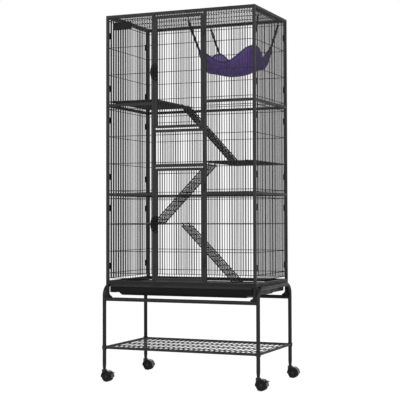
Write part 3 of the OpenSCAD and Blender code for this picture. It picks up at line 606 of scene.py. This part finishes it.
@dataclass
class Frame:
    """The solids that keep their shapes, each with the finish of what it is made of."""

    look: Finishes
    made: dict[str, Material] = field(default_factory=dict)

    def dress(self) -> None:
        """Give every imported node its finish."""
        look = self.look
        groups: list[tuple[Finish, Callable[[str], bool]]] = [
            (look.stand, lambda n: n.startswith("stand_") and n != "stand_shelf"),
            (look.shelf, lambda n: n.startswith("shelf_") or n in ("floor_grate", "stand_shelf")),
            (look.ladder, lambda n: n.startswith("ladder_")),
            (look.base, lambda n: n == "base_frame"),
            (look.runner, lambda n: n == "tray_runners"),
            (look.tray, lambda n: n == "tray"),
            (look.tyre, lambda n: n.startswith("wheels_")),
            (look.wire, lambda n: n == "strap_hooks"),
            (look.cloth, lambda n: n == "hammock"),
            (look.webbing, lambda n: n == "hammock_straps"),
            (look.hood, lambda n: n.startswith(("caster_", "brake_"))),
            (look.nylon, lambda n: n == "panel_clips" or "latch" in n),
            (look.cage, lambda n: True),
        ]
        for name, node in frame["nodes"].items():
            finish = next(f for f, belongs in groups if belongs(name))
            if not node.material_slots:
                node.data.materials.append(None)
            for place in node.material_slots:
                place.material = self.get(finish)
            LOG.info("%s: %s", name, finish.name)

    def get(self, finish: Finish) -> Material:
        """Give the material of a finish, which is made once.

        Args:
            finish: the finish.

        Returns:
            Its material.
        """
        if finish.name not in self.made:
            self.made[finish.name] = finish.material()
        return self.made[finish.name]


# ------------ hammock


@dataclass
class Hammock:
    """A cloth with rounded corners, hung by them: woven outside, fleece inside, a bound edge."""

    frame: Frame
    front_left: Vector = field(default_factory=lambda: at_cage(46.3, -84.2, 1578.3))
    front_right: Vector = field(default_factory=lambda: at_cage(318.3, -84.2, 1590.3))
    back_left: Vector = field(default_factory=lambda: at_cage(41.3, 183.8, 1601.3))
    back_right: Vector = field(default_factory=lambda: at_cage(313.3, 183.8, 1613.3))
    sag: float = 0.132
    outline: float = 5.0  # exponent of the rounded outline
    front_hem: Pair = (0.48, 2.1)  # share of the sag, and how wide the dip is
    back_hem: Pair = (0.71, 2.6)
    left_hem: Pair = (0.56, 1.55)
    right_hem: Pair = (0.62, 1.85)
    hem_point: float = 3.2  # how pointed the ends of a hem's dip are
    fade: float = 2.3  # how fast a hem's dip fades to the middle
    bowl: float = 0.52  # share of the sag that is a bowl
    bowl_point: float = 0.38  # how steep the bowl's wall is
    folds: int = 6  # creases that fan out of a corner
    fold: float = 0.0025  # their height
    ripple: float = 0.0008  # height of the unevenness all over
    drop: float = 0.0015  # the cloth lies this much under its corners
    cloth_t: float = 0.0016
    flat: Pair = (0.37, 0.37)  # the piece of cloth it is cut from
    area: float = 0.0  # its flat area, once it is made
    cells: int = 72
    crowd: float = 2.3  # how the grid's lines crowd at the edge
    hem: float = 0.008  # width of the binding tape
    tape_t: float = 0.0014  # both its layers together
    tape_steps: int = 240
    tape_rows: int = 4
    tape_step: float = 0.0056  # length of a step of the tape
    stitch_count: int = 260
    stitch_ends: Pair = (0.2, 0.8)  # where a stitch starts and ends in its step
    stitch_row: float = 0.78  # how far in on the tape the stitches run
    stitch_lift: float = 0.0016
    stitch_size: Pair = (0.0006, 0.0007)
    strap_w: float = 0.011
    strap_t: float = 0.0016
    strap_steps: int = 12
    slack: float = 0.0025  # how far a strap bends down in its middle
    sewn: tuple[float, ...] = (0.003, 0.006, 0.009)  # distances of its sewn end from the rim
    sewn_lift: float = 0.003
    slide_at: float = 0.3  # how far down a strap its slide sits
    hooks: tuple[Pair, ...] = (
        (-6.35, -95.225), (349.25, -95.225), (-6.35, 190.45), (349.25, 190.45))
    hook_low: float = 1726.8
    hook_gap: float = 0.0003
    hook_r: float = 0.003

    SIDES: ClassVar[int] = 4

    def at(self, p: float, q: float) -> Vector:
        """Give a point of the cloth's middle surface.

        Args:
            p: place across the cloth, from -1 to 1.
            q: place from the front to the back, from -1 to 1.

        Returns:
            The point in the frame.
        """
        n = self.outline
        rounded = (abs(p) ** n + abs(q) ** n + 1e-12) ** (1 / n)
        s = 2 ** (1 / n) * max(abs(p), abs(q), 0.001) / rounded
        u, v = (1 + p * s) / 2, (1 + q * s) / 2
        near = self.front_left.lerp(self.front_right, u)
        far = self.back_left.lerp(self.back_right, u)
        hems = ((self.front_hem, p, -q), (self.back_hem, p, q),
                (self.left_hem, q, -p), (self.right_hem, q, p))
        dip = self.bowl * max(0.0, (1 - p * p) * (1 - q * q)) ** self.bowl_point
        for (share, width), along, towards in hems:
            across = max(0.0, 1 - abs(along) ** width) ** self.hem_point
            dip += share * across * ((1 + towards) / 2) ** self.fade
        fan = math.atan2(1 - abs(q), 1.001 - abs(p))
        fold = self.fold * abs(p * q) * (1 - p * p * q * q) * math.sin(self.folds * fan)
        wave = math.sin(9 * p + 4 * q) * math.sin(7 * q - 3 * p)
        ripple = self.ripple * wave * (1 - max(abs(p), abs(q)) ** 4)
        return near.lerp(far, v) + Vector((0, 0, fold + ripple - self.sag * dip - self.drop))

    def stations(self) -> list[float]:
        """Place the grid lines from -1 to 1, close together where the cloth falls steeply."""
        even = [2 * i / self.cells - 1 for i in range(self.cells + 1)]
        return [math.copysign(1 - (1 - abs(t)) ** self.crowd, t) for t in even]

    def rim(self, turn: float) -> Pair:
        """Give a place on the rim: turn runs from 0 at the front left corner, 1 for each side."""
        side, t = math.floor(turn) % self.SIDES, 2 * (turn % 1) - 1
        return [(t, -1.0), (1.0, t), (-t, 1.0), (-1.0, -t)][side]

    def inside(self, turn: float, width: float, lift: float = 0.0) -> Vector:
        """Give a point that lies a width inside the rim, measured along the cloth.

        Args:
            turn: place along the rim, from 0 to 4.
            width: distance from the rim.
            lift: distance from the cloth's middle surface, positive towards its inside.

        Returns:
            The point in the frame.
        """
        p, q = self.rim(turn)
        low, high, halvings, least = 0.0, 0.2, 24, 2e-5
        start = self.at(p, q)
        for _ in range(halvings):
            share = (low + high) / 2
            reach = (self.at(p * (1 - share), q * (1 - share)) - start).length
            low, high = (share, high) if reach < width else (low, share)
        share = max(low, least)
        here = self.at(p * (1 - share), q * (1 - share))
        if not lift:
            return here
        beside, farther, nearer = 0.004, 1.05, 0.95
        (a, b), (c, d) = self.rim(turn + beside), self.rim(turn - beside)
        along = self.at(a * (1 - share), b * (1 - share)) - self.at(
            c * (1 - share), d * (1 - share))
        inward = self.at(p * (1 - share * farther), q * (1 - share * farther)) - self.at(
            p * (1 - share * nearer), q * (1 - share * nearer))
        return here + along.cross(inward).normalized() * lift

    def grid(self) -> Shape:
        """Move a flat grid's points on to the cloth's surface, with the cut as its UV map.

        Returns:
            The shape.
        """
        bm = bmesh.new()
        bmesh.ops.create_grid(bm, x_segments=self.cells, y_segments=self.cells, size=1)
        lines = self.stations()
        cut = {}
        for v in bm.verts:
            p, q = (lines[round((c + 1) / 2 * self.cells)] for c in v.co[:2])
            cut[v] = (p * self.flat[0] / 2, q * self.flat[1] / 2)
            v.co = self.at(p, q)
        unroll(bm, cut)
        return bm

    def cloth(self) -> Piece:
        """Make the cloth itself: woven on its outside, fleece on its inside.

        Returns:
            The cloth.
        """
        bm = self.grid()
        bmesh.ops.recalc_face_normals(bm, faces=bm.faces)
        if sum(f.normal.z for f in bm.faces) > 0:
            bmesh.ops.reverse_faces(bm, faces=bm.faces)
        self.area = sum(f.calc_area() for f in bm.faces)
        LOG.info("cloth area %.4f m2", self.area)
        look = self.frame.look
        sides = [self.frame.get(finish) for finish in (look.cloth, look.fleece)]
        made = piece("hammock_cloth", bm, sides, "cage", recalculate=False)
        shell = thicken(made, self.cloth_t)
        shell.material_offset, shell.use_quality_normals = 1, True
        return made

    def binding(self) -> Piece:
        """Make the tape folded over the cloth's edge all the way round.

        Returns:
            The tape.
        """
        bm = bmesh.new()
        steps, rows = self.tape_steps, self.tape_rows
        bmesh.ops.create_grid(bm, x_segments=steps, y_segments=rows, size=1)
        cut = {}
        for v in bm.verts:
            i, j = round((v.co.x + 1) / 2 * steps), round((v.co.y + 1) / 2 * rows)
            cut[v] = (j * self.hem / rows, i * self.tape_step)
            v.co = self.inside(i * self.SIDES / steps, j * self.hem / rows)
        unroll(bm, cut)
        bmesh.ops.remove_doubles(bm, verts=bm.verts, dist=MERGE)
        tape = self.frame.get(self.frame.look.binding)
        made = piece("hammock_binding", bm, [tape], "cage")
        thicken(made, self.cloth_t + self.tape_t)
        return soften(made, 0.6 * MM)

    def stitches(self) -> Piece:
        """Sew a row of stitches along the binding's inner edge, on both sides of the cloth.

        Returns:
            The stitches.
        """
        bm = bmesh.new()
        for k in range(self.stitch_count):
            for lift in (self.stitch_lift, -self.stitch_lift):
                a, b = (self.inside((k + d) * self.SIDES / self.stitch_count,
                                    self.hem * self.stitch_row, lift) for d in self.stitch_ends)
                way = b - a
                size = Matrix.Diagonal((way.length, *self.stitch_size, 1))
                turn = way.normalized().to_track_quat("X", "Z").to_matrix().to_4x4()
                new = bmesh.ops.create_icosphere(bm, subdivisions=1, radius=0.5)["verts"]
                place = Matrix.Translation((a + b) / 2) @ turn @ size
                bmesh.ops.transform(bm, matrix=place, verts=new)
        unroll(bm, {v: v.co.xy for v in bm.verts})
        thread = self.frame.get(self.frame.look.thread)
        return piece("hammock_stitches", bm, [thread], "cage")

    def band(self, points: Sequence[Vector], across: Vector) -> Shape:
        """Lay a strap's webbing along points, one face wide in each half.

        Args:
            points: the band's middle line.
            across: the direction of its width.

        Returns:
            The shape.
        """
        bm = bmesh.new()
        last = len(points) - 1
        bmesh.ops.create_grid(bm, x_segments=last, y_segments=2, size=1)
        run = [0.0]
        for a, b in zip(points, points[1:]):
            run.append(run[-1] + (b - a).length)
        cut = {}
        for v in bm.verts:
            i, j = round((v.co.x + 1) / 2 * last), round(v.co.y)
            cut[v] = (run[i], j * self.strap_w / 2)
            v.co = points[i] + across * (j * self.strap_w / 2)
        unroll(bm, cut)
        return bm

    def straps(self) -> list[Piece]:
        """Make four webbing straps from the hooks down to the cloth's corners, sewn on to it.

        Returns:
            The straps, each followed by its slide.
        """
        made = []
        webbing = self.frame.get(self.frame.look.webbing)
        corners = ((-1, -1, 0, "front_left"), (1, -1, 1, "front_right"),
                   (-1, 1, 3, "back_left"), (1, 1, 2, "back_right"))
        for (p, q, turn, name), (hook_x, hook_y) in zip(corners, self.hooks):
            corner = self.at(p, q)
            top = at_cage(hook_x, hook_y, self.hook_low)
            down = corner - top
            lean = math.hypot(down.x, down.y) / abs(down.z)
            top.z -= self.hook_gap + self.hook_r * lean  # clear of the hook
            across = Vector((-down.y, down.x, 0)).cross(down).normalized()  # flat to the front
            points = [top.lerp(corner, t / self.strap_steps) for t in range(self.strap_steps + 1)]
            for t, point in enumerate(points):
                point.z -= self.slack * math.sin(math.pi * t / self.strap_steps)
            sewn = [self.inside(turn, width, self.sewn_lift) for width in self.sewn]
            bm = self.band([*points, *sewn], across)
            strap = piece(f"strap_{name}", bm, [webbing], "cage")
            thicken(strap, self.strap_t)
            soften(strap, 0.4 * MM)
            centre = top.lerp(corner, self.slide_at)
            made += [strap, self.slide(name, centre, down.normalized(), across)]
        return made

    def slide(self, name: str, centre: Vector, down: Vector, across: Vector) -> Piece:
        """Make the slide that sets a strap's length: a frame with a middle bar.

        Args:
            name: the strap's corner.
            centre: the slide's middle.
            down: the strap's direction.
            across: the direction of the strap's width.

        Returns:
            The slide.
        """
        bm = bmesh.new()
        w, h, bar = self.strap_w + 0.006, 0.014, 0.0024
        for z in (-h / 2 + bar / 2, 0, h / 2 - bar / 2):
            slab(bm, Vector((0, 0, z)), (w, 0.0034 if z else 0.0026, bar), 0.8 * MM, 0)
        for x in (-w / 2 + bar / 2, w / 2 - bar / 2):
            slab(bm, Vector((x, 0, 0)), (bar, 0.003, h), 0.9 * MM, 1)
        turn = Matrix((across, down.cross(across).normalized(), down)).transposed().to_4x4()
        bmesh.ops.transform(bm, matrix=Matrix.Translation(centre) @ turn, verts=bm.verts)
        nylon = self.frame.get(self.frame.look.nylon)
        made = piece(f"strap_slide_{name}", bm, [nylon], "cage")
        return soften(made, 0.4 * MM)

    def build(self) -> None:
        cloth = self.cloth()
        binding, stitches = self.binding(), self.stitches()
        straps = self.straps()
        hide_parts("hammock")
        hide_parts("hammock_straps")


# ------------ plate, latches, casters


@dataclass
class Plate:
    """The bare plate clipped on the wires at the top of the front left bay, in millimetres."""

    frame: Frame
    x: Pair = (-341.0, -245.0)
    z: Pair = (1680.0, 1716.0)
    thick: float = 2.4
    corner: float = 5.0
    rim: float = 2.2  # width of the raised rim
    step: Pair = (0.6, 0.7)  # width and depth of the step inside it
    wires_y: float = -225.2  # front of the upright wires
    gaps: Pair = (-323.65, -259.87)  # middles of two gaps between upright wires
    neck: tuple[float, ...] = (6.0, 3.8, 9.0)  # sides of a clip's neck, through the gap
    pad: tuple[float, ...] = (16.0, 1.5, 12.0)  # and of its pad, behind the wires beside it

    def build(self) -> None:
        """Make the plate with its raised rim and its two clips behind."""
        look = self.frame.look
        (x0, x1), (z0, z1) = self.x, self.z
        y, middle = self.wires_y - 0.1 - self.thick / 2, (z0 + z1) / 2
        bm = bmesh.new()
        size = mm(x1 - x0, self.thick, z1 - z0)
        slab(bm, at_cage((x0 + x1) / 2, y, middle), size, self.corner * MM)
        front = min(bm.faces, key=lambda f: f.calc_center_median().y)
        width, depth = mm(*self.step)
        bmesh.ops.inset_region(bm, faces=[front], thickness=self.rim * MM, depth=0)
        bmesh.ops.inset_region(bm, faces=[front], thickness=width, depth=-depth)
        made = piece("front_plate", bm, [self.frame.get(look.plate)], "cage")
        soften(made, 0.4 * MM)
        bm = bmesh.new()
        for x in self.gaps:
            slab(bm, at_cage(x, self.wires_y + 1.8, middle), mm(*self.neck), 0.8 * MM)
            slab(bm, at_cage(x, self.wires_y + 4.0, middle), mm(*self.pad), 2.0 * MM)
        made = piece("front_plate_clips", bm, [self.frame.get(look.nylon)], "cage")
        soften(made, 0.3 * MM)


@dataclass
class LatchTrim:
    """What shows on a door latch: raised pads, screws, and ribs on its knob, in millimetres."""

    frame: Frame
    door: str
    bolt: str
    case: str
    keeper: str
    knob: str
    pad: tuple[float, ...] = (12.0, 1.6, 15.0)
    pad_corner: float = 2.4
    pad_z: float = 17.5  # over and under the case's middle
    case_screw_z: float = 31.5
    keeper_screw: Pair = (6.2, 22.0)  # in from its edge, over and under its middle
    knob_in: float = 5.5  # middle of the knob, in from the bolt's end
    rib: Pair = (0.9, 1.2)  # width and depth
    ribs: tuple[Pair, ...] = ((-2.4, 6.4), (0, 8), (2.4, 6.4))  # place and length
    screw_r: float = 2.7

    # Half a domed screw head with a recess: radius as a share of its own, height in millimetres.
    HEAD: ClassVar[tuple[Pair, ...]] = (
        (0, 0.7), (0.3, 0.7), (0.34, 1.25), (0.62, 1.05),
        (0.9, 0.6), (1, 0.1), (1, -0.4), (0, -0.4))

    def build(self) -> None:
        """Make the trim of one latch on the faces of its case, keeper and knob."""
        look = self.frame.look
        nylon, steel = self.frame.get(look.nylon), self.frame.get(look.wire)
        low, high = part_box(self.case)
        cx, cz = (low.x + high.x) / 2, (low.z + high.z) / 2
        bm = bmesh.new()
        for side in (-1, 1):
            slab(bm, Vector((cx, low.y, cz + side * self.pad_z * MM)), mm(*self.pad),
                 self.pad_corner * MM)
        made = piece(f"{self.case}_pads", bm, [nylon], self.door)
        soften(made, 0.5 * MM)
        bm = bmesh.new()
        for side in (-1, 1):
            self.screw(bm, Vector((cx, low.y, cz + side * self.case_screw_z * MM)))
        piece(f"{self.case}_screws", bm, [steel], self.door)
        keeper_low, keeper_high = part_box(self.keeper)
        inset, rise = mm(*self.keeper_screw)
        bm = bmesh.new()
        for side in (-1, 1):
            self.screw(bm, Vector((keeper_high.x - inset, keeper_low.y, cz + side * rise)))
        piece(f"{self.keeper}_screws", bm, [steel], "cage")
        bolt_low, bolt_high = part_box(self.knob)
        middle = bolt_high.x - self.knob_in * MM
        bm = bmesh.new()
        for place, length in self.ribs:
            slab(bm, Vector((middle + place * MM, bolt_low.y, cz)), mm(*self.rib, length), 0.3 * MM)
        soften(piece(f"{self.knob}_ribs", bm, [nylon], self.bolt), 0.2 * MM)

    def screw(self, bm: Shape, where: Vector) -> None:
        """Add a domed screw head that faces the front.

        Args:
            bm: the shape to add to.
            where: the point of the face that it sits on.
        """
        radius = self.screw_r * MM
        place = Matrix.Translation(where) @ Matrix.Rotation(math.pi / 2, 4, "X")
        turned(bm, [(radius * share, z * MM) for share, z in self.HEAD], place, 24)


@dataclass
class CasterTrim:
    """Axle heads and ribs in the dished webs, on the outer faces of a wheel pair."""

    frame: Frame
    name: str
    ribs: int = 6
    rib: tuple[float, ...] = (7.6, 1.6, 1.4)  # sides in millimetres
    rib_at: tuple[float, ...] = (11.6, 0, -1.35)  # distance from the axle, and depth in the web

    # Half an axle head: radius and height in millimetres.
    HEAD: ClassVar[tuple[Pair, ...]] = (
        (0, 0.6), (2.4, 0.5), (3.4, 0.1), (5.4, 0.1), (5.8, -0.3), (5.8, -1.4), (0, -1.4))

    def build(self) -> None:
        """Make the hub trim of one wheel pair."""
        low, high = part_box(f"wheels_{self.name}")
        cx, cz = (low.x + high.x) / 2, (low.z + high.z) / 2
        bm = bmesh.new()
        for side, y in ((-1, low.y), (1, high.y)):
            outward = Matrix.Rotation(-side * math.pi / 2, 4, "X")
            place = Matrix.Translation((cx, y, cz)) @ outward
            turned(bm, [mm(*point) for point in self.HEAD], place)
            for k in range(self.ribs):
                rib = slab(bm, Vector(), mm(*self.rib), 0.3 * MM, 0)
                spoke = Matrix.Rotation(k * 2 * math.pi / self.ribs, 4, "Z")
                at = spoke @ Matrix.Translation(mm(*self.rib_at))
                bmesh.ops.transform(bm, matrix=place @ at, verts=rib)
        hood = self.frame.get(self.frame.look.hood)
        made = piece(f"hubs_{self.name}", bm, [hood], f"wheels_{self.name}")
        soften(made, 0.2 * MM)


# ------------ studio


@dataclass
class Studio:
    """White floor and background, soft lamps, and the camera at the photograph's place."""

    camera_at: Triple = (2130.4, -5015.0, 777.1)  # mm from the cage's middle
    turn: float = 23.016  # degrees
    pitch: float = 1.826
    roll: float = -0.14
    lens: float = 101.11
    shift_x: float = 0.00548
    shift_y: float = -0.04395
    surround: float = 0.62  # strength of the light from all sides
    floor_size: float = 30.0
    floor_glow: float = 1.06  # what the camera sees of the floor
    floor_share: float = 0.9  # how much of that hides the shadow
    aim_z: float = 0.95  # height that the lamps look at
    # Each lamp's name, place, power in watts and side in metres.
    lamps: tuple[tuple[str, Triple, float, float], ...] = (
        ("key", (3.6, -2.2, 3.0), 170, 2.4), ("front", (-2.6, -4.2, 2.4), 90, 2.6),
        ("back", (-1.5, 3.6, 3.2), 60, 2.4))

    def camera(self) -> None:
        """Stand the camera at the photograph's place and angle."""
        a, p, r = (math.radians(x) for x in (self.turn, self.pitch, self.roll))
        forward = Vector((-math.sin(a) * math.cos(p), math.cos(a) * math.cos(p), math.sin(p)))
        level = Vector((math.cos(a), math.sin(a), 0))
        above = level.cross(forward)
        right = level * math.cos(r) + above * math.sin(r)
        up = above * math.cos(r) - level * math.sin(r)
        data = bpy.data.cameras.new("camera")
        data.lens, data.sensor_width = self.lens, 36
        data.shift_x, data.shift_y = self.shift_x, self.shift_y
        data.clip_end = 100
        made = bpy.data.objects.new("camera", data)
        bpy.context.scene.collection.objects.link(made)
        turn = Matrix((right, up, -forward)).transposed().to_4x4()
        made.matrix_world = Matrix.Translation(at_cage(*self.camera_at)) @ turn
        bpy.context.scene.camera = made

    def seen_share(self, tree: Tree) -> Socket:
        """Tell rays that show the background itself: to the camera, in gloss and through glass.

        Args:
            tree: the node tree.

        Returns:
            The socket, 1 for those rays and 0 for the others.
        """
        path = add_node(tree, "ShaderNodeLightPath").outputs
        direct = add_node(tree, MATH, {"operation": "MAXIMUM"}, {
            0: path["Is Camera Ray"], 1: path["Is Glossy Ray"]})
        return add_node(tree, MATH, {"operation": "MAXIMUM"}, {
            0: direct.outputs[0], 1: path["Is Transmission Ray"]}).outputs[0]

    def world(self) -> None:
        """Make a white surround that lights the object at a plain level."""
        world = bpy.data.worlds.new("studio")
        bpy.context.scene.world = world
        world.use_nodes = True
        tree = world.node_tree
        tree.nodes.clear()
        light = add_node(tree, "ShaderNodeBackground", inputs={
            "Color": linear("#f4f5f7"), "Strength": self.surround})
        seen = add_node(tree, "ShaderNodeBackground", inputs={"Color": WHITE, "Strength": 1.0})
        mixed = add_node(tree, "ShaderNodeMixShader", inputs={
            0: self.seen_share(tree), 1: light.outputs[0], 2: seen.outputs[0]})
        add_node(tree, "ShaderNodeOutputWorld", inputs={"Surface": mixed.outputs[0]})

    def floor(self) -> None:
        """Lay a pale floor that shows white and keeps the object's shadow."""
        bm = bmesh.new()
        bmesh.ops.create_grid(bm, x_segments=4, y_segments=4, size=self.floor_size)
        mesh = bpy.data.meshes.new("floor")
        bm.to_mesh(mesh)
        bm.free()
        made = bpy.data.objects.new("floor", mesh)
        bpy.context.scene.collection.objects.link(made)
        material = bpy.data.materials.new("floor_white")
        material.use_nodes = True
        tree = material.node_tree
        tree.nodes.clear()
        matt = add_node(tree, "ShaderNodeBsdfDiffuse", inputs={"Color": linear("#f2f2f2")})
        white = add_node(tree, "ShaderNodeEmission", inputs={
            "Color": WHITE, "Strength": self.floor_glow})
        share = add_node(tree, MATH, {"operation": "MULTIPLY"}, {
            0: self.seen_share(tree), 1: self.floor_share})
        mixed = add_node(tree, "ShaderNodeMixShader", inputs={
            0: share.outputs[0], 1: matt.outputs[0], 2: white.outputs[0]})
        add_node(tree, "ShaderNodeOutputMaterial", inputs={"Surface": mixed.outputs[0]})
        mesh.materials.append(material)

    def lamp(self, name: str, where: Triple, power: float, size: float) -> None:
        """Hang a soft square lamp that looks at the cage's middle.

        Args:
            name: the lamp's name.
            where: its place in metres.
            power: its power in watts.
            size: its side in metres.
        """
        data = bpy.data.lights.new(name, "AREA")
        data.energy, data.size = power, size
        made = bpy.data.objects.new(name, data)
        bpy.context.scene.collection.objects.link(made)
        spot = Vector(where)
        turn = (Vector((MIDDLE_X, 0, self.aim_z)) - spot).to_track_quat("-Z", "Y")
        made.matrix_world = Matrix.Translation(spot) @ turn.to_matrix().to_4x4()

    def build(self) -> None:
        """Set up camera, surround, floor and lamps."""
        self.camera()
        self.world()
        self.floor()
        for name, where, power, size in self.lamps:
            self.lamp(name, where, power, size)
        bpy.context.scene.view_settings.view_transform = "Standard"


# ------------ the whole


def main() -> None:
    """Build the studio, dress the frame and make the soft and small pieces."""
    logging.basicConfig(level=logging.INFO, format="%(name)s: %(message)s")
    Studio().build()
    look = Finishes()
    dressed = Frame(look)
    dressed.dress()
    Hammock(dressed).build()
    Plate(dressed).build()
    for level in ("upper", "lower"):
        LatchTrim(dressed, f"{level}_door", f"{level}_bolt", f"{level}_latch_case",
                  f"{level}_latch_keeper", f"{level}_latch_bolt").build()
    for name in ("front_left", "front_right", "back_left", "back_right"):
        CasterTrim(dressed, name).build()


if __name__ == "__main__":
    main()
